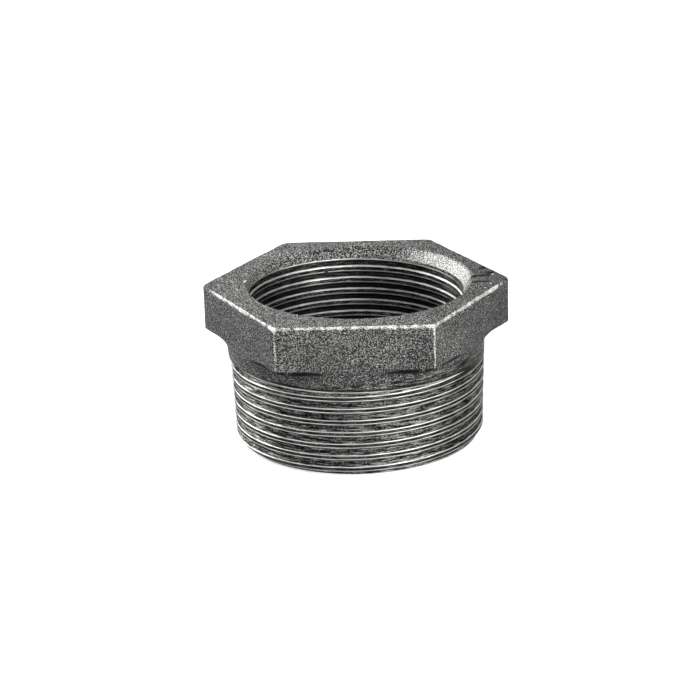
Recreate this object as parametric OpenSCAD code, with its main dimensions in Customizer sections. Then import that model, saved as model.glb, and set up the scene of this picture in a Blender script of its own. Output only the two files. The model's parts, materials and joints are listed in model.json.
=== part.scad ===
// Hexagon bushing: a one-piece cast iron pipe reducer.
// A hexagon head stands over a shank with a conical outside thread,
// and a parallel inside thread runs down the bore from the head's top face.
// The shank's end face lies on z = 0, and the bore's axis is +Z.

/* [Head] */
// Width across the flats of the hexagon
flat_width = 50; // [49.5:0.5:56]
// Height of the hexagon
head_height = 8.6; // [7:0.1:14]
// Radius of the hexagon's upright edges
edge_radius = 1.5; // [0.6:0.1:3]

/* [Shank] */
// Length of the shank, from its end face to the head
shank_length = 21; // [20:0.5:32]
// Diameter of the turned cone where it meets the end face
shank_end_d = 47; // [46.4:0.1:47.6]
// Length over which the turned cone grows by one millimetre in diameter
taper_run = 16; // [14:1:40]
// Length of the turned cone, from the end face
turned_length = 17.8; // [17:0.1:18.8]
// Height of the bevel at the end face
bevel_height = 1.3; // [0.6:0.1:1.8]
// How far the bevel cuts back the radius of the end face
bevel_depth = 0.9; // [0.4:0.1:1.2]

/* [Neck] */
// How far the cast neck stands out over the turned cone
neck_step = 0.2; // [0.05:0.05:0.4]
// Growth of the neck's radius on its way up to the head
neck_flare = 0.4; // [0:0.1:0.6]
// Radius of the cast fillet under the head
neck_fillet = 2; // [1:0.1:2.4]

/* [Thread form] */
// Distance from one turn to the next, eleven turns to the inch
pitch = 2.309; // [2.1:0.001:2.5]
// Angle between the two flanks of a groove
flank_angle = 55; // [50:1:60]
// Width of the flat at the bottom of a groove
root_flat = 0.385; // [0.3:0.005:0.5]

/* [Outside thread] */
// Depth of the groove
male_depth = 1.1; // [0.8:0.05:1.2]
// Height at which the groove has run out
male_length = 16.8; // [12:0.2:16.8]
// Bearing at which the groove would cross the end face
male_start = 235; // [0:5:355]

/* [Inside thread] */
// Diameter at the bottom of the groove
female_major_d = 41.91; // [41.5:0.01:42.2]
// Depth of the groove
female_depth = 0.9; // [0.7:0.05:1.1]
// Length of the bored wall that carries the thread, from the top face
female_length = 21.5; // [16:0.5:24]
// Bearing at which the groove would cross the top face
female_start = 200; // [0:5:355]

/* [Bore] */
// Diameter of the cast waterway below the inside thread
core_d = 38; // [34:0.5:39]
// Bevel at the lower end of the waterway
core_bevel = 0.5; // [0.2:0.1:1]
// Diameter of the countersunk mouth at the top face
mouth_d = 42.3; // [42:0.1:44]
// Depth of the countersunk mouth
mouth_depth = 1.8; // [1:0.1:2.5]

/* [Hidden] */
// Flat pieces in each turn of a groove
turn_steps = 48;
// Share of a turn over which a groove fades out at its blind end
fade_turns = 0.55;
// How far a cutting shape reaches past the wall that it cuts
cut_past = 0.3;
// Pieces in a rounded edge of the hexagon and in the neck's fillet
edge_steps = 4;
fillet_steps = 6;

total_height = shank_length + head_height;
female_crest_r = female_major_d / 2 - female_depth;
bore_floor = total_height - female_length;
neck_foot_r = turned_r(turned_length) + neck_step;
flank_slope = tan(flank_angle / 2);

// Radius of the turned cone at height z
function turned_r(z) = shank_end_d / 2 + z / (2 * taper_run);

// Radius of the cast neck at height z, without its fillet
function neck_r(z) =
    neck_foot_r + neck_flare * (z - turned_length) / (shank_length - turned_length);

// Outline of the hexagon with rounded corners, two of its flats square to Y
function hexagon_outline() =
    let (corner_r = (flat_width / 2 - edge_radius) / cos(30))
    [for (corner = [0 : 5], step = [0 : edge_steps])
        let (
            bearing = 60 * corner,
            turn = bearing - 30 + 60 * step / edge_steps
        )
        [corner_r * cos(bearing) + edge_radius * cos(turn),
         corner_r * sin(bearing) + edge_radius * sin(turn)]];

// Fillet that spreads the neck out to the underside of the head
function neck_arc() =
    [for (step = [0 : fillet_steps])
        let (
            turn = 90 * step / fillet_steps,
            z = shank_length - neck_fillet * (1 - sin(turn))
        )
        [neck_r(z) + neck_fillet * (1 - cos(turn)), z]];

// Section of a groove at one place on its helix: root_flat wide at root_r,
// and wider along its flanks as far as open_r
function groove_section(root_r, open_r, z, bearing) =
    let (
        root_half = root_flat / 2,
        open_half = root_half + abs(open_r - root_r) * flank_slope
    )
    [for (corner = [[root_r, -root_half], [root_r, root_half],
                    [open_r, open_half], [open_r, -open_half]])
        [corner[0] * cos(bearing), corner[0] * sin(bearing), z + corner[1]]];

// Solid bar through a row of groove sections, each of four corners.
// outward is true where the root lies on the axis' side of the opening.
module groove_bar(sections, outward) {
    last = 4 * (len(sections) - 1);
    walls = [for (start = [0 : 4 : last - 4], side = [0 : 3])
        let (
            a = start + side,
            b = start + (side + 1) % 4
        )
        each [[a, a + 4, b + 4], [a, b + 4, b]]];
    ends = [[0, 1, 2, 3], [last + 3, last + 2, last + 1, last]];
    faces = concat(walls, ends);
    polyhedron(
        [for (section = sections) each section],
        outward ? faces : [for (face = faces) [for (i = [len(face) - 1 : -1 : 0]) face[i]]]);
}

// Groove of the outside thread: it enters below the end face and fades out
// under the neck
module male_groove() {
    top_turn = male_length / pitch + male_start / 360;
    steps = ceil((male_length / pitch + 1) * turn_steps);
    groove_bar([for (step = [steps : -1 : 0])
        let (
            turn = top_turn - step / turn_steps,
            z = (turn - male_start / 360) * pitch,
            fade = max(0, 1 - (top_turn - turn) / fade_turns),
            root_r = turned_r(z) - male_depth + fade * (male_depth + cut_past)
        )
        groove_section(root_r, max(root_r, turned_r(z)) + cut_past, z, 360 * turn)], true);
}

// Groove of the inside thread: it fades in above the waterway and leaves
// through the countersunk mouth
module female_groove() {
    first_turn = -female_length / pitch + 1;
    steps = ceil(female_length / pitch * turn_steps);
    groove_bar([for (step = [0 : steps])
        let (
            turn = first_turn + step / turn_steps,
            z = total_height + turn * pitch,
            fade = max(0, 1 - (turn - first_turn) / fade_turns),
            root_r = female_major_d / 2 - fade * (female_depth + cut_past)
        )
        groove_section(root_r, min(root_r, female_crest_r) - cut_past, z,
                       360 * turn + female_start)], false);
}

// Turned cone, cast neck with its fillet, and room above for the head
module outside() {
    rotate_extrude($fn = 2 * turn_steps)
        polygon(concat(
            [[0, 0], [shank_end_d / 2 - bevel_depth, 0],
             [turned_r(bevel_height), bevel_height],
             [turned_r(turned_length), turned_length], [neck_foot_r, turned_length]],
            neck_arc(),
            [[flat_width, shank_length], [flat_width, total_height], [0, total_height]]));
}

// Waterway, bored wall for the inside thread, and countersunk mouth
module bore() {
    core_r = core_d / 2;
    rotate_extrude($fn = 2 * turn_steps)
        polygon([[0, -cut_past], [core_r + core_bevel + cut_past, -cut_past],
                 [core_r, core_bevel],
                 [core_r, bore_floor - (female_crest_r - core_r)],
                 [female_crest_r, bore_floor],
                 [female_crest_r, total_height - mouth_depth],
                 [mouth_d / 2, total_height], [mouth_d / 2, total_height + cut_past],
                 [0, total_height + cut_past]]);
}

module hexagon_bushing() {
    color([0.30, 0.30, 0.31])
        difference() {
            intersection() {
                linear_extrude(total_height) polygon(hexagon_outline());
                outside();
            }
            bore();
            male_groove();
            female_groove();
        }
}

hexagon_bushing();
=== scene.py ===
"""Looks of a cast iron hexagon reducing bushing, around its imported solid."""
import json
import math
from functools import partial

import bmesh
import bpy
import numpy as np
from bpy.props import FloatProperty, FloatVectorProperty, PointerProperty
from mathutils import Matrix, Vector, noise


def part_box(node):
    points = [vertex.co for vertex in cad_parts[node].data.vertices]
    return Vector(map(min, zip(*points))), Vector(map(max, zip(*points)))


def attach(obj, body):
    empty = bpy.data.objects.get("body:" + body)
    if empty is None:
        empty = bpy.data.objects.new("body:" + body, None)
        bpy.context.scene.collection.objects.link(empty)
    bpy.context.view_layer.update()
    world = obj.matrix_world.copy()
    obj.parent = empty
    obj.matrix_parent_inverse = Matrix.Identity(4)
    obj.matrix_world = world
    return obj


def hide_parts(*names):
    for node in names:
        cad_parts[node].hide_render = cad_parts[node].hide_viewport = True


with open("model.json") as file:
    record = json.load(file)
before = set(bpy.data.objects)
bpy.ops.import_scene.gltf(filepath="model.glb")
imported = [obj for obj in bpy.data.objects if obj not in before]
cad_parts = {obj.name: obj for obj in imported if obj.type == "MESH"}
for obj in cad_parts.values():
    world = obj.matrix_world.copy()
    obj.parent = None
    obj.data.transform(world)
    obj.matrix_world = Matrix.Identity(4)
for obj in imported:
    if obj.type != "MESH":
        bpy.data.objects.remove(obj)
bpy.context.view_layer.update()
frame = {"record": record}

bl_info = {
    "name": "Hexagon Reducing Bushing",
    "version": (1, 0, 0),
    "blender": (4, 5, 0),
    "location": "View3D > Sidebar > Bushing",
    "description": "Makes a sand cast iron bushing with two turned pipe threads, and its studio",
    "category": "Add Mesh",
}

MM = 0.001
NODE = "hexagon_bushing"
BODY = "root"
PIECE = "bushing_casting"

NODE_LOW, NODE_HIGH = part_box(NODE)
MOUNTS = {mount["name"]: mount for mount in frame["record"]["mounts"]}
FLAT_WIDTH = NODE_HIGH.y - NODE_LOW.y
TOTAL_HEIGHT = NODE_HIGH.z
BORE_RADIUS = MOUNTS["female_thread"]["dims"]["r_mm"] * MM

# Columns of the mesh round the axis, and how strongly they crowd to the hexagon's edges
COLUMNS = 384
CROWDING = 0.62
MERGE_DISTANCE = 0.002 * MM
NOISE_SEED = Vector((3.1, 7.7, 1.9))

CAST, TURNED = 0, 1
# Distance to the edge of a thread's top that is written where there is no thread
PLAIN_WALL = 1.0 * MM
# How far the bright line on the edge of a thread's top, rubbed iron and painted highlight, lies above
# that edge
RUB_SHIFT = 0.05 * MM
# Share by which distances shrink round the lower edge of a top, which makes its line wider
LOWER_LINE = 0.2

# Half of the angle that one flat of the hexagon spans
HALF_FLAT = math.pi / 6
# How far the rows that keep an edge crisp stand from it
SUPPORT = 0.08 * MM
# Bevel at the waterway's lower end
CORE_BEVEL = 0.5 * MM
# Height of the small step from the cast neck down to the turned cone
NECK_STEP = 0.05 * MM
# Bearing towards which the cast neck lies off the turned axis
NECK_LEAN = math.radians(170)


def linear(hex_colour):
    """Linear RGBA of an sRGB hex colour."""
    channels = [int(hex_colour[i:i + 2], 16) / 255 for i in (1, 3, 5)]
    return [c / 12.92 if c <= 0.04045 else ((c + 0.055) / 1.055) ** 2.4 for c in channels] + [1.0]


def length(name, description, millimetres):
    """A size property, in metres, with its default given in millimetres."""
    return FloatProperty(name=name, description=description, default=millimetres * MM,
                         min=0.0, unit="LENGTH", precision=5)


def angle(name, description, degrees):
    """An angle property with its default given in degrees."""
    return FloatProperty(name=name, description=description, default=math.radians(degrees),
                         subtype="ANGLE", unit="ROTATION")


def share(name, description, value, high=1.0):
    """A plain number property."""
    return FloatProperty(name=name, description=description, default=value, min=0.0, max=high)


def colour(name, description, hex_colour):
    """A colour property with its default given as an sRGB hex value."""
    return FloatVectorProperty(name=name, description=description, subtype="COLOR", size=4,
                               min=0.0, max=1.0, default=linear(hex_colour))


class BushingCasting(bpy.types.PropertyGroup):
    flat_width: length("Flat width", "Width across the flats of the hexagon", FLAT_WIDTH / MM)
    total_height: length("Total height", "Height from the end face to the top", TOTAL_HEIGHT / MM)
    head_height: length("Head height", "Height of the hexagon", 8.6)
    edge_radius: length("Edge radius", "Radius of the hexagon's upright edges", 1.5)
    rim_radius: length("Rim radius", "Mean radius of the worn top rim", 0.37)
    rim_wear: length("Rim wear", "How much the rim's radius changes along it", 0.2)
    foot_radius: length("Foot radius", "Radius of the hexagon's lower edge", 0.28)
    flat_blend: length("Flat blend", "Radius where the middle of a flat runs into the neck", 2.6)
    neck_radius: length("Neck radius", "Radius of the cast neck at its foot", 24.26)
    neck_flare: length("Neck flare", "Growth of the neck's radius up to the head", 0.4)
    neck_fillet: length("Neck fillet", "Radius of the fillet under the head", 2.0)
    neck_shift: length("Neck shift", "How far the cast neck lies off the turned axis", 0.15)
    mouth_radius: length("Mouth radius", "Radius of the cast mouth at the top", 21.12)
    mouth_depth: length("Mouth depth", "Depth of the cast mouth", 1.95)
    mouth_shift_x: length("Mouth shift X", "How far the mouth lies off the axis along X", 0.74)
    mouth_shift_y: length("Mouth shift Y", "How far the mouth lies off the axis along Y", 0.37)
    # The mouth's painted highlight, drawn as bare iron: its bearing and how far it reaches each way.
    mouth_bare: angle("Mouth bare", "Bearing where the tool has bared the mouth", 30)
    mouth_bare_spread: angle("Mouth bare spread", "How far the bare stretch reaches each way", 49)
    waterway_radius: length("Waterway radius", "Radius of the cast waterway", 19.0)
    swell: length("Swell", "Depth of the casting's slow unevenness", 0.07)
    ripple: length("Ripple", "Depth of the casting's short unevenness", 0.035)


class BushingThreads(bpy.types.PropertyGroup):
    pitch: length("Pitch", "Distance from one turn to the next", 2.309)
    flank_angle: angle("Flank angle", "Angle between the two flanks of a groove", 55)
    root_flat: length("Root flat", "Width of the groove's bottom", 0.385)
    crest_rounding: length("Crest rounding", "Rounding of the edges of the thread's tops", 0.10)
    cone_radius: length("Cone radius", "Radius of the turned cone at the end face", 23.5)
    taper: share("Taper", "Growth of the cone's radius with its height", 1 / 32)
    outside_depth: length("Outside depth", "Depth of the outside groove", 1.1)
    outside_bearing: angle("Outside bearing", "Bearing where the outside groove starts", 235)
    outside_length: length("Outside length", "Height where the outside groove has run out", 16.9)
    bevel_height: length("Bevel height", "Height of the bevel at the end face", 1.3)
    bevel_depth: length("Bevel depth", "How far the bevel cuts back the end face", 0.9)
    inside_depth: length("Inside depth", "Depth of the inside groove", 0.9)
    inside_bearing: angle("Inside bearing", "Bearing where the inside groove leaves the top", 200)
    inside_length: length("Inside length", "Length of the bored wall from the top", 21.5)
    fade_turns: share("Fade", "Share of a turn over which a groove runs out", 0.5)


class BushingFinish(bpy.types.PropertyGroup):
    skin_dark: colour("Skin hollows", "Hollows between the sand grains", "#121212")
    skin_light: colour("Skin grains", "Tops of the sand grains", "#dededa")
    # This colour also paints highlights on the mouth and on the edges of the thread's tops.
    bare: colour("Bare edge", "Iron rubbed bare on edges", "#d6d6d3")
    groove_dark: colour("Groove pits", "Torn pits in the turned grooves", "#101010")
    groove_light: colour("Groove ridges", "Tool ridges in the turned grooves", "#e6e6e2")
    crest: colour("Crest", "Oil-darkened flat tops of the thread", "#111111")
    grazing: colour("Grazing", "Tint of the oiled iron where it is seen edge on", "#b4b4b2")
    # This colour also paints the shade under the head and deep in the bore.
    mark: colour("Scratch", "Dark bottom of a scratch or a pit", "#101010")
    skin_roughness: share("Skin roughness", "Roughness of the cast skin", 0.75)
    turned_roughness: share("Turned roughness", "Roughness of the turned iron", 0.38)


class BushingStage(bpy.types.PropertyGroup):
    elevation: angle("Elevation", "Camera's height angle over the floor", 20.372)
    bearing: angle("Bearing", "Camera's turn about the bushing's axis", 1.364)
    roll: angle("Roll", "Camera's tilt about its own line of sight", -1.873)
    distance: length("Distance", "From the camera to the middle of the bushing", 452.33)
    aim_height: length("Aim height", "Height of the point that the camera aims by", 15.5)
    aim_right: length("Aim right", "How far the bushing stands right of the aim", 1.425)
    aim_down: length("Aim down", "How far the bushing stands below the aim", 0.310)
    field: length("Field", "Focal length for a sensor as wide as 36 mm", 122.88)
    floor: colour("Floor", "Pale floor", "#f4f4f4")
    floor_bounce: colour("Floor bounce", "Grey of the light that the floor sends back up", "#505050")
    floor_glow: share("Floor glow", "White that the floor adds for the camera", 0.3)
    sky_strength: share("Sky strength", "Light of the white room on the object", 0.1, 2.0)
    back_power: share("Back power", "Watts of the softbox behind at the left", 1.3, 100.0)
    side_power: share("Side power", "Watts of the softbox at the left", 3.8, 100.0)
    right_power: share("Right power", "Watts of the high softbox at the right front", 2.45, 100.0)
    low_power: share("Low power", "Watts of the low softbox at the right front", 3.4, 100.0)
    left_power: share("Left power", "Watts of the softbox at the left front", 0.5, 100.0)


def bearing_columns():
    """Bearings of the mesh's columns, crowded to the hexagon's six upright edges."""
    even = np.arange(COLUMNS) * 2 * math.pi / COLUMNS
    return even - CROWDING * np.sin(6 * even) / 6


def from_corner(bearings):
    """Signed angle from the nearest corner of the hexagon; one corner is on +X."""
    return (bearings + HALF_FLAT) % (2 * HALF_FLAT) - HALF_FLAT


def hexagon_radius(bearings, apothem, edge_radius):
    """Radius of the hexagon's outline, with rounded corners, at each bearing."""
    turn = from_corner(bearings)
    centre = (apothem - edge_radius) / math.cos(HALF_FLAT)
    arc_end = math.atan2(edge_radius / 2, centre + edge_radius * math.cos(HALF_FLAT))
    arc = np.sqrt(np.maximum(edge_radius ** 2 - (centre * np.sin(turn)) ** 2, 0))
    flat = apothem / np.cos(HALF_FLAT - np.abs(turn))
    return np.where(np.abs(turn) < arc_end, centre * np.cos(turn) + arc, flat)


def bell(offsets, width):
    """1 in the middle, and falling to nothing within about two widths."""
    return np.exp(-(offsets / width) ** 2)


def fade_in(values, start, over):
    """0 up to start, and 1 from start + over on."""
    return np.clip((values - start) / over, 0, 1)


def shifted_circle(bearings, radius, shift_x, shift_y):
    """Radius, from the axis, of a circle whose middle is shifted off the axis."""
    along = shift_x * np.cos(bearings) + shift_y * np.sin(bearings)
    across = shift_y * np.cos(bearings) - shift_x * np.sin(bearings)
    return along + np.sqrt(radius ** 2 - across ** 2)


def round_noise(bearings, waves, row=0.0):
    """Smooth noise round the axis, about waves swings in a turn, between -1 and 1."""
    scale = waves / (2 * math.pi)
    points = [Vector((scale * math.cos(b), scale * math.sin(b), row)) + NOISE_SEED for b in bearings]
    return np.array([noise.noise(p) for p in points])


def rubbed_share(bearings):
    """How much the hexagon's edges are rubbed: fully in front, and little behind."""
    return np.clip(0.5 - 3 * np.sin(bearings), 0.4, 1)


def corner_curve(start, corner, end, steps):
    """Points of a rounded corner, as (radius, height) pairs, without its first point."""
    points = []
    for step in range(1, steps + 1):
        t = step / steps
        points.append(tuple((1 - t) ** 2 * a + 2 * t * (1 - t) * b + t ** 2 * c
                            for a, b, c in zip(start, corner, end)))
    return points


class Section:
    """Rows of the mesh in order round the bushing's section, each with a value per column."""

    def __init__(self, bearings):
        self.bearings = bearings
        self.rows = []
        self.threads = []

    def add(self, radius, height, finish, zone="", wear=0.0):
        columns = len(self.bearings)
        self.rows.append({"radius": np.broadcast_to(radius, columns) + 0.0,
                          "height": np.broadcast_to(height, columns) + 0.0,
                          "finish": finish, "zone": zone,
                          "wear": np.broadcast_to(wear, columns) + 0.0})

    def add_thread(self, heights, radius_at, zone, turn_rows, downwards):
        """Rows that follow a groove: past the seam each meets the row one turn on."""
        first = len(self.rows)
        for height in (reversed(heights) if downwards else heights):
            self.add(radius_at(height), height, TURNED, zone)
        step = -turn_rows if downwards else turn_rows
        self.threads.append((first, len(self.rows) - 1, step))

    def in_zone(self, zone):
        """Whether each of the mesh's points lies on the wall of a thread."""
        return np.repeat([row["zone"] == zone for row in self.rows], len(self.bearings))

    def past_seam(self, row):
        """The row that a row meets when the columns close round the axis."""
        for first, last, step in self.threads:
            if first <= row <= last:
                return min(max(row + step, first - 1), last + 1)
        return row


def groove_rows(threads, depth, steps_on_top):
    """Distances of the rows of one turn from the groove's middle, root to next root."""
    slope = math.tan(threads.flank_angle / 2)
    root = threads.root_flat / 2
    opening = root + depth * slope
    soft = threads.crest_rounding
    below = [-opening - soft * 0.7, -opening, -opening + soft * 0.7, -root - 0.12 * MM]
    inner = [-root + 0.06 * MM, root - 0.06 * MM]
    above = [-offset for offset in reversed(below)]
    top = [opening + (threads.pitch - 2 * opening) * (step + 1) / (steps_on_top + 1)
           for step in range(steps_on_top)]
    return below + inner + above + top


def start_height(threads, level, bearing):
    """Height at which a groove passes bearing 0 when it crosses a level at another bearing."""
    return level - bearing / (2 * math.pi) * threads.pitch


def thread_heights(bearings, low, high, start, pitch, offsets, squeeze):
    """Heights of all rows between low and high that follow a groove which passes bearing 0
    at height start. squeeze narrows the rows of a groove that runs out."""
    turns = bearings / (2 * math.pi)
    first = math.floor((np.min(low) - start - max(offsets)) / pitch) - 1
    last = math.ceil((np.max(high) - start - min(offsets)) / pitch - turns.max()) + 1
    middles = [start + (turns + number) * pitch for number in range(first, last + 1)]
    return [np.clip(middle + squeeze(middle, offset), low, high)
            for middle in middles for offset in offsets]


def outside_blank(threads):
    """Radius of the shank before its groove is cut, at each height."""
    foot = threads.cone_radius - threads.bevel_depth
    bevel_slope = threads.taper + threads.bevel_depth / threads.bevel_height

    def radius_at(height):
        return np.minimum(threads.cone_radius + threads.taper * height, foot + bevel_slope * height)
    return radius_at


def build_section(casting, threads):
    """All rows of the bushing's section: up the bore, out over the head, down the shank."""
    section = Section(bearing_columns())
    mouth_floor = add_bore(section, casting, threads)
    outline, rim = add_top(section, casting, mouth_floor)
    foot_radius, seam = add_flats_and_neck(section, casting, outline, rim)
    add_shank(section, casting, threads, foot_radius, seam)
    return section


def add_bore(section, casting, threads):
    """Rows up the waterway, the bored wall and its thread; gives the mouth's lower edge."""
    bearings, height = section.bearings, casting.total_height
    core, core_rows = casting.waterway_radius, 5
    ledge = BORE_RADIUS - core
    floor = height - threads.inside_length
    section.add(core + CORE_BEVEL, 0, CAST)
    section.add(core + SUPPORT, CORE_BEVEL - SUPPORT, CAST)
    section.add(core, CORE_BEVEL + SUPPORT, CAST)
    for step in range(core_rows):
        rise = (floor - ledge - CORE_BEVEL) * (step + 1) / (core_rows + 1)
        section.add(core, CORE_BEVEL + rise, CAST)
    section.add(core, floor - ledge - SUPPORT, TURNED)
    section.add(core + SUPPORT, floor - ledge + SUPPORT, TURNED)
    section.add(BORE_RADIUS - SUPPORT, floor - SUPPORT, TURNED)
    section.add(BORE_RADIUS, floor + SUPPORT, TURNED, "inside_thread")

    # the mouth reaches deeper on the side that it leans to
    lean = np.arctan2(casting.mouth_shift_y, casting.mouth_shift_x)
    deeper, waviness = 0.16, 0.07 * MM
    mouth_floor = height - casting.mouth_depth * (1 + deeper * np.cos(bearings - lean))
    mouth_floor += waviness * round_noise(bearings, 60)
    start = start_height(threads, height, threads.inside_bearing)
    offsets = groove_rows(threads, threads.inside_depth, 1)
    heights = thread_heights(bearings, floor + SUPPORT, mouth_floor, start, threads.pitch,
                             offsets, lambda middle, offset: offset)
    section.add_thread(heights, lambda z: np.full(COLUMNS, BORE_RADIUS), "inside_thread",
                       len(offsets), False)
    section.add(BORE_RADIUS, mouth_floor, CAST, "inside_thread")
    return mouth_floor


def add_top(section, casting, mouth_floor):
    """Rows up the mouth and over the top face; gives the hexagon's outline and the rim's radius."""
    bearings, height = section.bearings, casting.total_height
    mouth = shifted_circle(bearings, casting.mouth_radius, casting.mouth_shift_x, casting.mouth_shift_y)
    waviness, bow = 0.05 * MM, 0.06 * MM
    mouth += waviness * round_noise(bearings, 90, 2.0)
    # painted highlight: bare iron is painted on the mouth where the softboxes behind at the left light
    # it, over a little wear all round
    least_bare, most_bare = 0.12, 0.885
    off_bare = (bearings - casting.mouth_bare + math.pi) % (2 * math.pi) - math.pi
    bare = least_bare + most_bare * np.exp(-(off_bare / casting.mouth_bare_spread) ** 4)
    for part in (0.12, 0.35, 0.6, 0.82):
        section.add(BORE_RADIUS + (mouth - BORE_RADIUS) * part + bow * math.sin(math.pi * part),
                    mouth_floor + (height - mouth_floor) * part, CAST, wear=bare)
    lip, lip_wear = 0.16 * MM, 0.9
    slant = (mouth - BORE_RADIUS) / (height - mouth_floor)
    top_start = mouth + lip * 1.2
    for radius, z in corner_curve((mouth - lip * slant, height - lip), (mouth, height),
                                  (top_start, height), 3):
        section.add(radius, z, CAST, wear=lip_wear * bare)

    # the rim is worn in short chips and long stretches, and most on the corners
    outline = hexagon_radius(bearings, casting.flat_width / 2, casting.edge_radius)
    chips = round_noise(bearings, 120, 5.0)
    stretches = 0.6 * round_noise(bearings, 34, 6.0)
    corners = 0.8 * bell(from_corner(bearings), math.radians(2.2))
    rim = casting.rim_radius + casting.rim_wear * (chips + stretches + corners)
    rim = np.clip(rim, 0.15 * MM, 1.2 * MM)
    for part in (0.14, 0.3, 0.46, 0.62, 0.78, 0.92):
        section.add(top_start + (outline - rim - top_start) * part, height, CAST)
    front = rubbed_share(bearings)
    line_wear, line_change, inner_wear = 1.04, 0.3, 0.35
    section.add(outline - rim, height, CAST, wear=inner_wear * front)
    rubbed = front * (line_wear + line_change * round_noise(bearings, 230, 15.0))
    for radius, z in corner_curve((outline - rim, height), (outline, height),
                                  (outline, height - rim), 5):
        section.add(radius, z, CAST, wear=rubbed)
    return outline, rim


def add_flats_and_neck(section, casting, outline, rim):
    """Rows down the flats, round under the head and down the neck; gives the radius and the
    height of the neck's foot."""
    bearings, height = section.bearings, casting.total_height
    under = height - casting.head_height
    fillet = casting.neck_fillet
    arc_start = under - fillet
    reach = math.pi / 2 * fillet
    seam = neck_foot(bearings)
    neck = casting.neck_radius + casting.neck_shift * np.cos(bearings - NECK_LEAN)

    def neck_path(distance):
        """Radius and height at a distance along the neck, its fillet and the underside."""
        turn = np.clip(distance / fillet, 0, math.pi / 2)
        z = arc_start + np.minimum(distance, 0) + fillet * np.sin(turn)
        flare = casting.neck_flare * (z - seam) / (under - seam)
        beyond = np.maximum(distance - reach, 0)
        return neck + flare + fillet * (1 - np.cos(turn)) + beyond, z

    # where that path meets the hexagon's outline, at each column
    samples = np.linspace(0, reach, 41)
    radii = neck_path(samples[:, None])[0]
    meets = np.array([np.interp(*pair, samples) for pair in zip(outline, radii.T)])
    meets += np.maximum(outline - radii[-1], 0)

    # the flats run into the neck in their middles, and nearer the back on the two beside the front
    off_middle = HALF_FLAT - np.abs(from_corner(bearings))
    off_front = np.abs((bearings - math.radians(90)) % (2 * math.pi) - math.pi)
    beside = (off_front > HALF_FLAT) & (off_front < math.pi / 2)
    off_blend = np.where(beside, np.abs(off_front - math.radians(67)), off_middle)
    blend = casting.foot_radius * (1 + 0.25 * round_noise(bearings, 70, 9.0))
    blend = blend + casting.flat_blend * bell(off_blend, math.radians(9.5))
    edge = neck_path(meets)
    flat_foot = edge[1] + blend

    flat_rows, under_rows, below_rim_wear = 11, 14, 0.5
    for step in range(flat_rows):
        z = height - rim + (flat_foot - height + rim) * (step + 1) / flat_rows
        section.add(outline, z, CAST, wear=below_rim_wear if step == 0 else 0.0)
    for radius, z in corner_curve((outline, flat_foot), edge, neck_path(meets - blend), 5):
        section.add(radius, z, CAST)

    # painted shade on the neck under the head's overhang, beside the blended middles of the front
    # flats, above a line falling 0.37 mm for each mm that the head stands out over the neck; kept as
    # wear below 0
    grimy = fade_in(off_blend, math.radians(10.5), math.radians(4))
    grimy *= fade_in(-off_middle, math.radians(-31), math.radians(5))
    grimy *= fade_in(-off_front, math.radians(-54), math.radians(6))
    overhang = 0.37 * (outline - neck - casting.neck_flare) / np.clip(np.cos(off_front), 0.5, 1)
    grime_edge = under - overhang - np.where(beside, 0.85 * MM, 0.7 * MM)
    foot = seam - arc_start + 0.14 * MM
    for step in range(under_rows):
        radius, z = neck_path(meets - blend + (foot - meets + blend) * (step + 1) / under_rows)
        section.add(radius, z, CAST, wear=-grimy * fade_in(z, grime_edge, 0.3 * MM))
    return neck_path(foot)[0], seam


def add_shank(section, casting, threads, neck_foot_radius, seam):
    """Rows from the neck's foot down the turned cone with its groove, and over the end face."""
    cone_at_seam = threads.cone_radius + threads.taper * seam
    section.add((cone_at_seam + neck_foot_radius) / 2, seam + NECK_STEP, TURNED)
    section.add(cone_at_seam, seam, TURNED, "outside_thread")
    section.add(cone_at_seam - threads.taper * NECK_STEP, seam - NECK_STEP, TURNED, "outside_thread")
    start = start_height(threads, 0.0, threads.outside_bearing)
    offsets = groove_rows(threads, threads.outside_depth, 2)
    slope = math.tan(threads.flank_angle / 2)
    opening = threads.root_flat / 2 + threads.outside_depth * slope
    fade_height = threads.fade_turns * threads.pitch
    closed_up = 0.85

    def squeeze(middle, offset):
        """Rows of the groove's run-out keep its lower edge and close up on it."""
        fade = np.clip((middle - threads.outside_length) / fade_height + 1, 0, 1)
        inside = -opening < offset <= opening
        return -opening + (offset + opening) * (1 - closed_up * fade) if inside else offset + 0 * fade

    heights = thread_heights(section.bearings, 0.0, seam - NECK_STEP, start, threads.pitch,
                             offsets, squeeze)
    section.add_thread(heights, outside_blank(threads), "outside_thread", len(offsets), True)
    foot = threads.cone_radius - threads.bevel_depth
    section.add(foot, 0, TURNED, "outside_thread")
    for part in (0.08, 0.3, 0.6, 0.9):
        section.add(foot + (casting.waterway_radius + CORE_BEVEL - foot) * part, 0, TURNED)


def neck_foot(bearings):
    """Height where the turned cone ends against the cast neck: the casting lies off the
    turned axis, so the cut reaches higher on one side."""
    middle, swing, waviness = 17.62 * MM, 1.3 * MM, 0.07 * MM
    height = middle + swing * np.cos(bearings - NECK_LEAN - math.pi)
    return height + waviness * round_noise(bearings, 50, 11.0)


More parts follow.
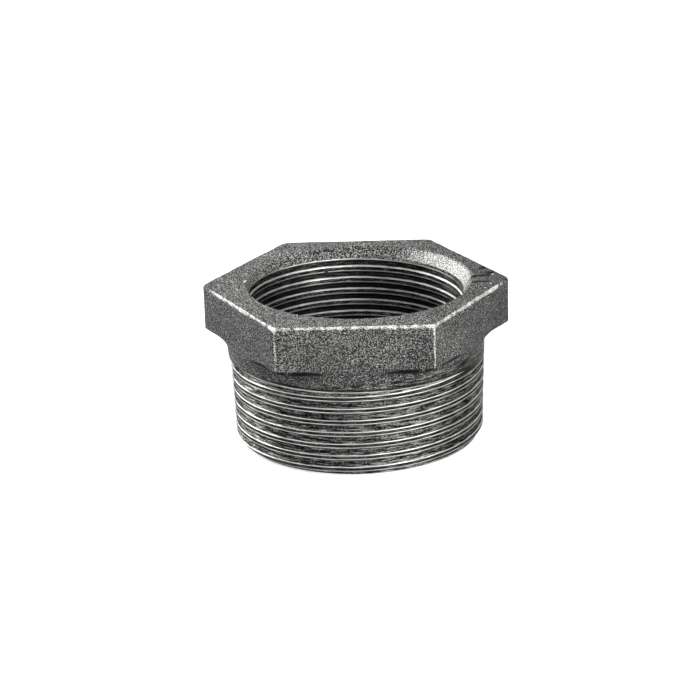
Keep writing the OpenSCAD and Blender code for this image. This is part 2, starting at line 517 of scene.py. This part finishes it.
def roughened(points, casting):
    """Cast points pulled in, never out, by the unevenness of the sand mould: the points of
    the top face mostly down, the others sideways into the metal."""
    swell_length, ripple_length = 6.5 * MM, 1.7 * MM
    slow = [noise.noise(Vector(point) / swell_length + NOISE_SEED) for point in points]
    short = [noise.noise(Vector(point) / ripple_length + NOISE_SEED * 2) for point in points]
    pull = casting.swell * (np.array(slow) - 1) / 2 + casting.ripple * (np.array(short) - 1) / 2
    radius = np.hypot(points[:, 0], points[:, 1])
    on_top = points[:, 2] > casting.total_height - 0.5 * MM
    on_mouth = radius < casting.flat_width / 2 - 2.2 * MM
    side_pull = pull * np.where(on_top, 0.4, 1.0) * np.where(on_mouth, -1.0, 1.0)
    moved = points.copy()
    moved[:, :2] += points[:, :2] / radius[:, None] * side_pull[:, None]
    moved[:, 2] += np.where(on_top, pull, 0)
    return moved


def section_points(section, casting):
    """Points of all the section's rows, and the wear at each, which also holds painted shade below 0
    and the mouth's painted highlight. Wear also runs down the hexagon's upright edges, from below the
    rim to above the underside."""
    radius, height, wear = [np.array([row[key] for row in section.rows])
                            for key in ("radius", "height", "wear")]
    bearings = section.bearings[None, :]
    points = np.stack([radius * np.cos(bearings), radius * np.sin(bearings), height], -1)
    near_edge = 0.98 * bell(from_corner(bearings), math.radians(1.2)) * rubbed_share(bearings)
    on_flat = radius > casting.flat_width / 2 + 1.5 * MM
    on_flat &= height > casting.total_height - casting.head_height + 0.2 * MM
    on_flat &= height < casting.total_height - 0.01 * MM
    wear = np.where(on_flat, np.maximum(wear, near_edge), wear)
    return points.reshape(-1, 3), wear.ravel()


def section_quads(section):
    """Quads between all rows, closed round the axis, with each one's finish. Rows of a
    thread close on the row one turn on."""
    rows = len(section.rows)
    index = np.arange(rows * COLUMNS).reshape(rows, COLUMNS)
    following = np.roll(index, -1, axis=1)
    following[:, -1] = [index[section.past_seam(row), 0] for row in range(rows)]
    quads = np.stack([index, following, np.roll(following, -1, axis=0), np.roll(index, -1, axis=0)], -1)
    return quads.reshape(-1, 4), np.repeat([row["finish"] for row in section.rows], COLUMNS)


def blank_mesh(casting, threads):
    """The bushing before its threads are cut, as one closed mesh."""
    section = build_section(casting, threads)
    points, wear = section_points(section, casting)
    cast = np.repeat([row["finish"] == CAST and not row["zone"] for row in section.rows], COLUMNS)
    points[cast] = roughened(points[cast], casting)
    quads, finishes = section_quads(section)
    mesh = bpy.data.meshes.new("blank")
    mesh.from_pydata(points.tolist(), [], quads.tolist())
    mesh.polygons.foreach_set("material_index", finishes)
    no_thread = np.full(len(points), PLAIN_WALL)
    for name, kind, values in (
            ("wear", "FLOAT", wear.astype(np.float32)),
            ("crest_edge", "FLOAT", no_thread.astype(np.float32)),
            ("outside_thread", "BOOLEAN", section.in_zone("outside_thread")),
            ("inside_thread", "BOOLEAN", section.in_zone("inside_thread"))):
        mesh.attributes.new(name, kind, "POINT").data.foreach_set("value", values)
    join_doubles(mesh)
    return mesh


def join_doubles(mesh):
    """Joins points in one place, drops the faces that vanish, and turns the rest outwards."""
    shape = bmesh.new()
    shape.from_mesh(mesh)
    bmesh.ops.remove_doubles(shape, verts=shape.verts, dist=MERGE_DISTANCE)
    bmesh.ops.dissolve_degenerate(shape, edges=shape.edges, dist=MERGE_DISTANCE)
    bmesh.ops.recalc_face_normals(shape, faces=shape.faces)
    shape.to_mesh(mesh)
    shape.free()


def add_node(tree, kind, inputs=(), output=0, **settings):
    """Adds a node with its settings and links, and gives one of its outputs. kind leaves out
    ShaderNode, and may end in an operation. inputs holds values or outputs of other nodes,
    in order or by the socket's name."""
    kind, *operation = kind.split()
    node = tree.nodes.new(kind if "Node" in kind else "ShaderNode" + kind)
    node.location = (200 * len(tree.nodes), 0)
    if operation:
        node.operation = operation[0]
    for name, value in settings.items():
        setattr(node, name, value)
    for key, value in (inputs.items() if isinstance(inputs, dict) else enumerate(inputs)):
        if isinstance(value, bpy.types.NodeSocket):
            tree.links.new(value, node.inputs[key])
        else:
            node.inputs[key].default_value = value
    return node.outputs[output] if node.outputs else None


GROOVE_INPUTS = ("Pitch", "Flank Angle", "Root Flat", "Depth", "Crest Rounding", "Crest Radius",
                 "Taper", "Start Height", "Run-out Height", "Fade Height", "Fade Upwards", "Side")

# How a groove is worked out. Each row names a result, then the operation and its values, which
# are earlier results, inputs of the tree, coordinates or numbers.
GROOVE_STEPS = (
    # distance from the groove's middle, and the height of that middle
    ("turn", "ARCTAN2", "Y", "X"),
    ("turn", "DIVIDE", "turn", 2 * math.pi),
    ("raised", "SUBTRACT", "Z", "Start Height"),
    ("raised", "DIVIDE", "raised", "Pitch"),
    ("phase", "SUBTRACT", "raised", "turn"),
    ("phase", "WRAP", "phase", 0.5, -0.5),
    ("offset", "MULTIPLY", "phase", "Pitch"),
    ("middle", "SUBTRACT", "Z", "offset"),
    # run-out: the groove gets shallow while its lower edge keeps its place
    ("ahead", "SUBTRACT", "middle", "Run-out Height"),
    ("ahead", "MULTIPLY", "ahead", "Fade Upwards"),
    ("fade", "DIVIDE", "ahead", "Fade Height"),
    ("fade", "ADD", "fade", 1.0),
    ("fade", "MAXIMUM", "fade", 0.0),
    ("fade", "MINIMUM", "fade", 1.0),
    ("lost", "ADD", "Depth", "Crest Rounding"),
    ("lost", "MULTIPLY", "fade", "lost"),
    ("depth", "SUBTRACT", "Depth", "lost"),
    ("slope", "DIVIDE", "Flank Angle", 2.0),
    ("slope", "TANGENT", "slope"),
    ("lean", "MULTIPLY", "lost", "slope"),
    ("leaning", "MULTIPLY_ADD", "lean", "Fade Upwards", "offset"),
    ("distance", "ABSOLUTE", "leaning"),
    # depth of the cut: flat bottom, straight flanks and rounded corners
    ("root", "DIVIDE", "Root Flat", 2.0),
    ("flank", "SUBTRACT", "distance", "root"),
    ("flank", "DIVIDE", "flank", "slope"),
    ("flank", "SMOOTH_MAX", "flank", 0.0, "root"),
    ("cut", "SUBTRACT", "depth", "flank"),
    ("cut", "SMOOTH_MAX", "cut", 0.0, "Crest Rounding"),
    ("crest", "MULTIPLY_ADD", "Z", "Taper", "Crest Radius"),
    ("wall", "MULTIPLY_ADD", "crest", "Side", "cut"),
    ("target", "MULTIPLY", "radius", "Side"),
    ("target", "MAXIMUM", "target", "wall"),
    ("target", "MULTIPLY", "target", "Side"),
    ("grow", "DIVIDE", "target", "radius"),
    ("new X", "MULTIPLY", "X", "grow"),
    ("new Y", "MULTIPLY", "Y", "grow"),
    # distance to the edge of the thread's top, where the flank meets the wall, also on the bevel
    ("cut back", "SUBTRACT", "crest", "radius"),
    ("cut back", "ABSOLUTE", "cut back"),
    ("opening", "SUBTRACT", "depth", "cut back"),
    ("opening", "MULTIPLY_ADD", "opening", "slope", "root"),
    ("edge", "SUBTRACT", "distance", "opening"),
    ("vanish", "POWER", "fade", 8.0),
    ("edge", "MULTIPLY_ADD", "vanish", PLAIN_WALL, "edge"),
    ("under top", "GREATER_THAN", "leaning", 0.0),
    ("edge", "MULTIPLY_ADD", "under top", -RUB_SHIFT, "edge"),
    ("nearer", "MULTIPLY_ADD", "under top", -LOWER_LINE, 1.0),
    ("edge", "MULTIPLY", "edge", "nearer"),
)


def groove_tree():
    """Cuts one helical groove into a blank. Side is -1 where the groove lies on the axis'
    side of the wall and 1 where it lies outside it. The distance to the edge of the
    thread's top is kept in crest_edge: above 0 on the top, below 0 in the groove."""
    tree = bpy.data.node_groups.new("Cut Pipe Thread", "GeometryNodeTree")
    sockets = [("Geometry", "Geometry")] + [(name, "Float") for name in GROOVE_INPUTS]
    for name, kind in sockets + [("Zone", "String"), ("Finish", "Material")]:
        tree.interface.new_socket(name, in_out="INPUT", socket_type="NodeSocket" + kind)
    tree.interface.new_socket("Geometry", in_out="OUTPUT", socket_type="NodeSocketGeometry")
    node = partial(add_node, tree)
    known = dict(node("NodeGroupInput").node.outputs.items())
    known.update(node("SeparateXYZ", (node("GeometryNodeInputPosition"),)).node.outputs.items())
    flat = node("CombineXYZ", (known["X"], known["Y"]))
    known["radius"] = node("VectorMath LENGTH", (flat,), "Value")
    for name, operation, *values in GROOVE_STEPS:
        known[name] = node("Math " + operation, [known.get(value, value) for value in values])
    zone = node("GeometryNodeInputNamedAttribute", {"Name": known["Zone"]}, data_type="BOOLEAN")
    marked = node("GeometryNodeStoreNamedAttribute",
                  {"Geometry": known["Geometry"], "Selection": zone, "Name": "crest_edge",
                   "Value": known["edge"]}, data_type="FLOAT", domain="POINT")
    position = node("CombineXYZ", (known["new X"], known["new Y"], known["Z"]))
    cut_shape = node("GeometryNodeSetPosition",
                     {"Geometry": marked, "Selection": zone, "Position": position})
    real = node("GeometryNodeRealizeInstances", {"Geometry": cut_shape})
    finished = node("GeometryNodeSetMaterial",
                    {"Geometry": real, "Selection": zone, "Material": known["Finish"]})
    node("NodeGroupOutput", (finished,))
    return tree


def cut_thread(blank, tree, values):
    """Adds the thread cutter to the blank with its sizes."""
    modifier = blank.modifiers.new(values["Zone"], "NODES")
    modifier.node_group = tree
    sockets = {item.name: item.identifier for item in tree.interface.items_tree
               if item.in_out == "INPUT"}
    for name, value in values.items():
        modifier[sockets[name]] = value


def plain_copy(blank, name):
    """The evaluated object as a plain mesh object; the blank is removed."""
    depsgraph = bpy.context.evaluated_depsgraph_get()
    mesh = bpy.data.meshes.new_from_object(blank.evaluated_get(depsgraph), depsgraph=depsgraph,
                                           preserve_all_data_layers=True)
    mesh.name = name
    piece = bpy.data.objects.new(name, mesh)
    bpy.context.scene.collection.objects.link(piece)
    bpy.data.objects.remove(blank)
    return piece


def new_material(name):
    """An empty material, and add_node for its tree."""
    material = bpy.data.materials.new(name)
    material.use_nodes = True
    material.node_tree.nodes.clear()
    return material, partial(add_node, material.node_tree)


def place_in_mm(node):
    """Object coordinates in millimetres, so that a noise's Scale is its swings in a millimetre."""
    return node("VectorMath MULTIPLY", (node("TexCoord", (), "Object"), (1 / MM,) * 3))


def scratch_mask(node, place, start, end, width):
    """1 on a line between two places, in millimetres, and 0 beside it."""
    across = [e - s for s, e in zip(start, end)]
    from_start = node("VectorMath SUBTRACT", (place, start))
    along = node("VectorMath DOT_PRODUCT", (from_start, across), "Value")
    along = node("Math DIVIDE", (along, sum(a * a for a in across)), use_clamp=True)
    foot = node("VectorMath SCALE", {0: across, "Scale": along})
    distance = node("VectorMath DISTANCE", (from_start, foot), "Value")
    return node("MapRange", (distance, 0.5 * width, width, 1.0, 0.0))


# Marks of use by the right-hand corner, two scratches and two nicks: from X, Y to X, Y and the
# width, in mm
TOP_MARKS = (
    (21.6, 0.9, 23.0, 1.5, 0.76),
    (23.0, 1.5, 24.8, 1.6, 0.67),
    (22.0, -2.2, 23.3, -1.8, 0.59),
    (23.3, -1.8, 24.7, -1.9, 0.53),
    (24.0, 6.0, 24.3, 6.3, 0.94),
    (25.1, 2.9, 25.5, 3.3, 0.90),
)
# Small chips in the top face that show bare iron
BRIGHT_SPECKS = (
    (25.7, 2.1, 25.9, 2.4, 0.22),
    (25.1, -3.0, 25.3, -3.0, 0.20),
    (24.0, -5.5, 24.2, -5.4, 0.18),
    (-20.9, 1.2, -20.7, 2.1, 0.24),
    (-17.9, 17.0, -17.3, 17.3, 0.16),
    (-17.3, 10.8, -17.1, 11.2, 0.20),
)
# A pit in the wall of the bore
BORE_PITS = ((-6.1, 19.3, -6.0, 19.3, 0.42),)
# Heights of the top face and of that pit, in mm
TOP_LEVEL, PIT_LEVEL = 29.6, 25.2


def mark_mask(node, place, marks, level):
    """1 on any of the marks at a level, in millimetres, and 0 elsewhere."""
    mask = 0.0
    for *ends, width in marks:
        mark = scratch_mask(node, place, (*ends[:2], level), (*ends[2:], level), width)
        mask = node("Math MAXIMUM", (mark, mask))
    return mask


def laid_over(node, tone, layers):
    """The colour that is left when each of the layers, by its share, covers the one before."""
    for layer, colour in layers:
        tone = node("Mix", {0: layer, 6: tone, 7: colour}, 2, data_type="RGBA")
    return tone


# Moulding sand has grains 0.15 to 0.2 mm wide, just as fine as the render can show.
# Scales are in swings of the noise to a millimetre.
SAND_SCALE = 5.7
# Along Z the sand is drawn a little finer, or the top face would fall where the noise is blurred
SAND_FINER = (1.0, 1.0, 1.12)
# Sand that clumped in the mould, about 1 mm across, and stains about 6 mm across
CLUMP_SCALE, STAIN_SCALE = 1.1, 0.16
# From which to which value of the noise a hollow turns into the top of a grain
GRAIN_TOP = (0.575, 0.625)
# From which to which wear a point is rubbed bare, and how far the painted shade under the head hides
# the skin
BARE_WEAR, GRIME_SHARE = (0.5, 0.7), 0.95
# Height of the sand's and the clumps' print, drawn strong enough to show at this size
SAND_HEIGHT, CLUMP_HEIGHT = 0.18 * MM, 0.16 * MM


def sand_cast_skin(finish):
    """Grey iron cast in sand and left black: the mould's grains stand on the skin as light
    and dark specks, so it looks dull and rough, and rubbed edges show bare iron. Bare iron is also
    painted on the mouth as a highlight, and the scratch colour under the head as painted shade."""
    material, node = new_material("sand_cast_grey_iron")
    place = place_in_mm(node)
    finer = node("VectorMath MULTIPLY", (place, SAND_FINER))
    grains, clumps, stains = [
        node("TexNoise", {"Vector": vector, "Scale": scale, "Detail": detail, "Roughness": 0.6})
        for vector, scale, detail in ((finer, SAND_SCALE, 1.0), (place, CLUMP_SCALE, 3.0),
                                      (place, STAIN_SCALE, 2.0))]

    # the skin is darker in stains and towards the right end, from 6 to 26 mm off the axis
    speck = node("MapRange", (grains, *GRAIN_TOP))
    stain = node("MapRange", (stains, 0.3, 0.7, 0.0, 0.3))
    right_end = node("MapRange", (node("SeparateXYZ", (place,), "X"), 6.0, 26.0, 0.0, 0.5))
    shade = node("Math ADD", (stain, right_end))

    # wear bares the tops of the grains first, also where it paints the mouth's highlight; marks are
    # dark and hide the skin, and so does the painted shade under the head, read from wear below 0
    wear = node("Attribute", (), "Fac", attribute_name="wear")
    uneven = node("Math MULTIPLY_ADD", (clumps, 0.2, grains))
    rubbed = node("MapRange", (node("Math MULTIPLY", (wear, uneven)), *BARE_WEAR))
    rubbed = node("Math MAXIMUM", (rubbed, mark_mask(node, place, BRIGHT_SPECKS, TOP_LEVEL)))
    grime = node("MapRange", (wear, 0.0, -0.7, 0.0, GRIME_SHARE))
    dirt = node("Math MAXIMUM", (mark_mask(node, place, TOP_MARKS, TOP_LEVEL), grime))
    tone = laid_over(node, finish.skin_dark, (
        (speck, finish.skin_light), (shade, finish.skin_dark), (rubbed, finish.bare),
        (dirt, finish.mark)))

    # bare iron is a metal; the dark marks and the painted shade are given as one too, because they have
    # no pale gloss at the edges
    metallic = node("Math MAXIMUM", (rubbed, dirt))
    middle, change = finish.skin_roughness, 0.12
    rough = node("MapRange", (clumps, 0.3, 0.7, middle - change, middle + change))
    rough = node("Math MULTIPLY_ADD", (rubbed, -change, rough))
    bump = node("Bump", {"Strength": 0.5, "Distance": CLUMP_HEIGHT, "Height": clumps})
    bump = node("Bump", {"Strength": 0.8, "Distance": SAND_HEIGHT, "Height": grains, "Normal": bump})
    surface = node("BsdfPrincipled", {"Base Color": tone, "Metallic": metallic, "Roughness": rough,
                                      "Normal": bump, "Specular IOR Level": 0.25})
    node("OutputMaterial", (surface,))
    return material


# The tool's marks lie 0.1 to 0.15 mm apart and run round the shank for a few millimetres
TOOL_MARK_SCALE, MARKS_ROUND = 6.5, 1.4
# Flakes torn out of the iron are about 0.2 mm wide, and hands and rags leave the bright lines on the
# thread's tops, which are partly painted highlight, uneven over about 5 mm
TORN_SCALE, HANDLED_SCALE = 4.8, 0.22
# From which to which value of its pattern a groove turns from a torn pit into a tool's ridge
RIDGE = (0.49, 0.74)
# Height of the torn flakes and of the tool's ridges, drawn strong enough to show at this size
TORN_HEIGHT, RIDGE_HEIGHT = 0.14 * MM, 0.28 * MM
# The bore's grooves get painted shade, and more of it from the first to the second height, in mm
BORE_DARK, DEEP_DARK, DEEP_BORE = 0.66, 0.3, (27.0, 22.0)
# Distance from the edge of a thread's top over which its bright line, rubbed iron and painted
# highlight, fades
RUBBED_LINE = (0.03 * MM, 0.10 * MM)


def lathe_coordinates(node, place, threads):
    """Coordinates, in millimetres, that run slowly round the axis and fast up the wall, and
    climb with the thread. The radius comes with them, as a fourth, because a noise of the
    three alone would draw long blots on the thread's flanks."""
    axes = node("SeparateXYZ", (place,)).node.outputs
    flat = node("CombineXYZ", (axes["X"], axes["Y"]))
    radius = node("VectorMath LENGTH", (flat,), "Value")
    wide = node("VectorMath SCALE", {0: node("VectorMath NORMALIZE", (flat,)), "Scale": MARKS_ROUND})
    turn = node("Math ARCTAN2", (axes["Y"], axes["X"]))
    lead = threads.pitch / MM / (2 * math.pi)
    rise = node("CombineXYZ", {"Z": node("Math MULTIPLY_ADD", (turn, -lead, axes["Z"]))})
    return node("VectorMath ADD", (wide, rise)), radius


def turned_iron(finish, threads):
    """Grey iron turned on a lathe and wiped with oil: the light runs in bands across the
    tool's marks, the grooves are torn, the flat tops are dark with oil and their edges are
    rubbed bright, a line that is also a painted highlight. The bore's grooves get painted shade."""
    material, node = new_material("turned_oiled_iron")
    place = place_in_mm(node)
    turning, radius = lathe_coordinates(node, place, threads)
    tool_marks = node("TexNoise", {"Vector": turning, "W": radius, "Scale": TOOL_MARK_SCALE,
                                   "Detail": 2.0}, noise_dimensions="4D")
    flakes, handled = [
        node("TexNoise", {"Vector": place, "Scale": scale, "Detail": detail, "Roughness": 0.6})
        for scale, detail in ((TORN_SCALE, 1.0), (HANDLED_SCALE, 2.0))]
    torn = node("Math MULTIPLY_ADD", (tool_marks, 0.6, node("Math MULTIPLY", (flakes, 0.4))))

    # grooves, with painted shade in the bore that is darkest deep in it
    ridge = node("MapRange", (torn, *RIDGE))
    inside = node("Attribute", (), "Fac", attribute_name="inside_thread")
    deep = node("MapRange", (node("SeparateXYZ", (place,), "Z"), *DEEP_BORE))
    deep = node("Math MULTIPLY", (inside, deep))
    darkness = node("Math MULTIPLY", (inside, BORE_DARK))
    darkness = node("Math MULTIPLY_ADD", (deep, DEEP_DARK, darkness))

    # flat tops, oiled; plain turned walls, further than 0.6 mm from any edge, only half so
    edge = node("Attribute", (), "Fac", attribute_name="crest_edge")
    top = node("MapRange", (edge, 0.02 * MM, 0.08 * MM))
    plain = node("MapRange", (edge, 0.42 * MM, 0.6 * MM, 1.0, 0.5))
    top = node("Math MULTIPLY", (top, plain))
    worn = node("MapRange", (torn, 0.5, 0.75, 0.0, 0.3))
    oiled = laid_over(node, finish.crest, ((worn, finish.groove_light),))

    # rubbed line on the tops' edges, partly painted highlight: broken by tears, wider in the bore,
    # weaker deep in it as painted shade
    wider = node("Math MULTIPLY_ADD", (inside, -0.5, 1.0))
    near = node("Math MULTIPLY", (node("Math ABSOLUTE", (edge,)), wider))
    line = node("MapRange", (near, *RUBBED_LINE, 1.0, 0.0))
    rubbed = node("MapRange", (node("Math MULTIPLY", (line, torn)), 0.15, 0.33))
    weaker = node("Math MULTIPLY_ADD", (deep, -0.5, 1.0))
    handled = node("MapRange", (handled, 0.38, 0.62, 0.62, 1.1))
    rubbed = node("Math MULTIPLY", (rubbed, weaker))
    rubbed = node("Math MULTIPLY", (rubbed, handled))
    pit = mark_mask(node, place, BORE_PITS, PIT_LEVEL)
    tone = laid_over(node, finish.groove_dark, (
        (ridge, finish.groove_light), (darkness, finish.mark), (top, oiled),
        (rubbed, finish.bare), (pit, finish.mark)))

    # the tool's marks stretch the highlights across themselves; those of the bore are shallow
    shallow = node("Math MULTIPLY_ADD", (inside, -0.75, 1.0))
    ridges = node("Math MULTIPLY", (tool_marks, shallow))
    bump = node("Bump", {"Strength": 0.7, "Distance": TORN_HEIGHT, "Height": flakes})
    bump = node("Bump", {"Strength": 0.8, "Distance": RIDGE_HEIGHT, "Height": ridges, "Normal": bump})
    around = node("VectorMath CROSS_PRODUCT", ((0.0, 0.0, 1.0), place))
    middle, change = finish.turned_roughness, 0.1
    rough = node("MapRange", (tool_marks, 0.3, 0.7, middle - change, middle + change))
    surface = node("BsdfPrincipled", {
        "Base Color": tone, "Metallic": 0.9, "Roughness": rough, "Normal": bump,
        "Specular Tint": finish.grazing, "Anisotropic": 0.8, "Anisotropic Rotation": 0.25,
        "Tangent": around})
    node("OutputMaterial", (surface,))
    return material


class BUSHING_OT_make_body(bpy.types.Operator):
    """Make the bushing: the sand casting, its two turned threads and its finishes"""
    bl_idname = "bushing.make_body"
    bl_label = "Make Bushing"

    def execute(self, context):
        scene = context.scene
        casting, threads, finish = scene.bushing_casting, scene.bushing_threads, scene.bushing_finish
        blank = bpy.data.objects.new("blank", blank_mesh(casting, threads))
        scene.collection.objects.link(blank)
        turned = turned_iron(finish, threads)
        for material in (sand_cast_skin(finish), turned):
            blank.data.materials.append(material)
        tree = groove_tree()
        shared = {"Pitch": threads.pitch, "Flank Angle": threads.flank_angle,
                  "Root Flat": threads.root_flat, "Crest Rounding": threads.crest_rounding,
                  "Fade Height": threads.fade_turns * threads.pitch, "Finish": turned}
        cut_thread(blank, tree, {
            **shared, "Depth": threads.outside_depth, "Crest Radius": threads.cone_radius,
            "Taper": threads.taper, "Side": -1.0, "Zone": "outside_thread",
            "Start Height": start_height(threads, 0.0, threads.outside_bearing),
            "Run-out Height": threads.outside_length, "Fade Upwards": 1.0})
        top = casting.total_height
        cut_thread(blank, tree, {
            **shared, "Depth": threads.inside_depth, "Crest Radius": BORE_RADIUS,
            "Taper": 0.0, "Side": 1.0, "Zone": "inside_thread",
            "Start Height": start_height(threads, top, threads.inside_bearing),
            "Run-out Height": top - threads.inside_length + threads.pitch, "Fade Upwards": -1.0})
        piece = plain_copy(blank, PIECE)
        piece.data.shade_smooth()
        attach(piece, BODY)
        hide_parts(NODE)
        return {"FINISHED"}


def seen_directly(node):
    """1 for rays of the camera and for reflections and refractions, 0 for scattered light."""
    ray = node("LightPath").node.outputs
    seen = node("Math MAXIMUM", (ray["Is Camera Ray"], ray["Is Glossy Ray"]))
    return node("Math MAXIMUM", (seen, ray["Is Transmission Ray"]))


def floor_material(stage):
    """Pale matt floor. To the camera and in reflections it is nearly white and keeps the
    bushing's shadow; the light that it scatters back up is greyer."""
    material, node = new_material("pale_matt_floor")
    grain = node("TexNoise",
                 {"Vector": place_in_mm(node), "Scale": 0.8, "Detail": 2.0, "Roughness": 0.6})
    bump = node("Bump", {"Strength": 0.05, "Distance": 0.05 * MM, "Height": grain})
    matt = node("BsdfDiffuse", {"Color": stage.floor, "Normal": bump})
    glow = node("Emission", {"Color": stage.floor, "Strength": stage.floor_glow})
    pale = node("AddShader", (matt, glow))
    grey = node("BsdfDiffuse", {"Color": stage.floor_bounce, "Normal": bump})
    surface = node("MixShader", (seen_directly(node), grey, pale))
    node("OutputMaterial", (surface,))
    return material


def white_room(stage):
    """White all round: a strength of 1 to the camera and in reflections, less as light."""
    world = bpy.data.worlds.new("white_room")
    world.use_nodes = True
    world.node_tree.nodes.clear()
    node = partial(add_node, world.node_tree)
    strength = node("MapRange", (seen_directly(node), 0.0, 1.0, stage.sky_strength, 1.0))
    light = node("Background", {"Color": (1, 1, 1, 1), "Strength": strength})
    node("OutputWorld", (light,))
    return world


# Name, bearing and elevation in degrees, and width and height in metres of each softbox
SOFTBOXES = (
    ("back", 125, 30, 0.22, 0.22),
    ("side", 155, 25, 0.22, 0.22),
    ("right", 322, 45, 0.26, 0.26),
    ("low", 311, 14, 0.24, 0.16),
    ("left", 230, 40, 0.20, 0.20),
)
SOFTBOX_DISTANCE = 0.6
FLOOR_HALF = 1.5


def add_softbox(name, bearing, elevation, width, height, power, aim):
    """A rectangular lamp that looks at the aim from a bearing and an elevation in degrees."""
    lamp = bpy.data.lights.new(name, "AREA")
    lamp.shape = "RECTANGLE"
    lamp.size, lamp.size_y = width, height
    lamp.energy = power
    holder = bpy.data.objects.new(name, lamp)
    bpy.context.scene.collection.objects.link(holder)
    turn, rise = math.radians(bearing), math.radians(elevation)
    towards = Vector((math.cos(turn) * math.cos(rise), math.sin(turn) * math.cos(rise), math.sin(rise)))
    holder.location = aim + towards * SOFTBOX_DISTANCE
    holder.rotation_euler = (-towards).to_track_quat("-Z", "Y").to_euler()


def add_camera(stage):
    """The camera at the photograph's angle."""
    view = bpy.data.cameras.new("camera")
    view.sensor_width = 36
    view.lens = stage.field / MM
    view.clip_start, view.clip_end = 0.01, 20
    camera = bpy.data.objects.new("camera", view)
    bpy.context.scene.collection.objects.link(camera)
    turn = (Matrix.Rotation(stage.bearing, 3, "Z")
            @ Matrix.Rotation(math.pi / 2 - stage.elevation, 3, "X")
            @ Matrix.Rotation(stage.roll, 3, "Z"))
    aim = Vector((0, 0, stage.aim_height))
    place = aim - turn @ Vector((stage.aim_right, -stage.aim_down, -stage.distance))
    camera.matrix_world = Matrix.Translation(place) @ turn.to_4x4()
    bpy.context.scene.camera = camera


class BUSHING_OT_make_stage(bpy.types.Operator):
    """Make the pale floor, the white room, the softboxes and the camera"""
    bl_idname = "bushing.make_stage"
    bl_label = "Make Stage"

    def execute(self, context):
        stage = context.scene.bushing_stage
        mesh = bpy.data.meshes.new("floor")
        corners = [(x * FLOOR_HALF, y * FLOOR_HALF, 0) for x, y in ((-1, -1), (1, -1), (1, 1), (-1, 1))]
        mesh.from_pydata(corners, [], [(0, 1, 2, 3)])
        mesh.materials.append(floor_material(stage))
        floor = bpy.data.objects.new("floor", mesh)
        context.scene.collection.objects.link(floor)
        context.scene.world = white_room(stage)
        aim = Vector((0, 0, stage.aim_height))
        for name, bearing, elevation, width, height in SOFTBOXES:
            power = getattr(stage, name + "_power")
            add_softbox(name + "_softbox", bearing, elevation, width, height, power, aim)
        add_camera(stage)
        context.scene.view_settings.view_transform = "Standard"
        return {"FINISHED"}


class BUSHING_PT_sidebar(bpy.types.Panel):
    bl_idname = "BUSHING_PT_sidebar"
    bl_label = "Hexagon Bushing"
    bl_space_type = "VIEW_3D"
    bl_region_type = "UI"
    bl_category = "Bushing"

    def draw(self, context):
        for settings in SETTINGS:
            group = getattr(context.scene, settings)
            column = self.layout.box().column()
            for name in group.bl_rna.properties.keys():
                if name not in ("rna_type", "name"):
                    column.prop(group, name)
        for button in (BUSHING_OT_make_body, BUSHING_OT_make_stage):
            self.layout.operator(button.bl_idname)


SETTINGS = {"bushing_casting": BushingCasting, "bushing_threads": BushingThreads,
            "bushing_finish": BushingFinish, "bushing_stage": BushingStage}
CLASSES = (*SETTINGS.values(), BUSHING_OT_make_body, BUSHING_OT_make_stage, BUSHING_PT_sidebar)


def register():
    for kind in CLASSES:
        bpy.utils.register_class(kind)
    for name, kind in SETTINGS.items():
        setattr(bpy.types.Scene, name, PointerProperty(type=kind))


def unregister():
    for name in SETTINGS:
        delattr(bpy.types.Scene, name)
    for kind in reversed(CLASSES):
        bpy.utils.unregister_class(kind)


def main():
    register()
    bpy.ops.bushing.make_body()
    bpy.ops.bushing.make_stage()


if __name__ == "__main__":
    main()
